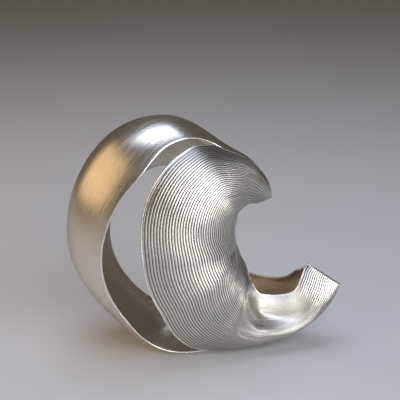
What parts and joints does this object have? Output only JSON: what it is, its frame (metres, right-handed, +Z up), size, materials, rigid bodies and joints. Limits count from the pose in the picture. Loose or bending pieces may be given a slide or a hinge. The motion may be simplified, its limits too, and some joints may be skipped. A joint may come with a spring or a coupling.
{
  "type": "abstract sculpture",
  "caption": "Hollow crescent-shaped abstract sculpture of fine silver wires laid side by side, its ends pinched flat and its skin parted by long open slits.",
  "frame": {"origin": "middle of the piece's box, at the surface it stands on", "axes": "+X to the side the crescent's mouth opens to, +Y away from the wide ridged side, +Z up"},
  "size_m": [0.2154, 0.0966, 0.1874],
  "materials": {
    "silver_wire": null
  },
  "bodies": {
    "root": {"silver_wire_crescent": "silver_wire"}
  },
  "joints": []
}
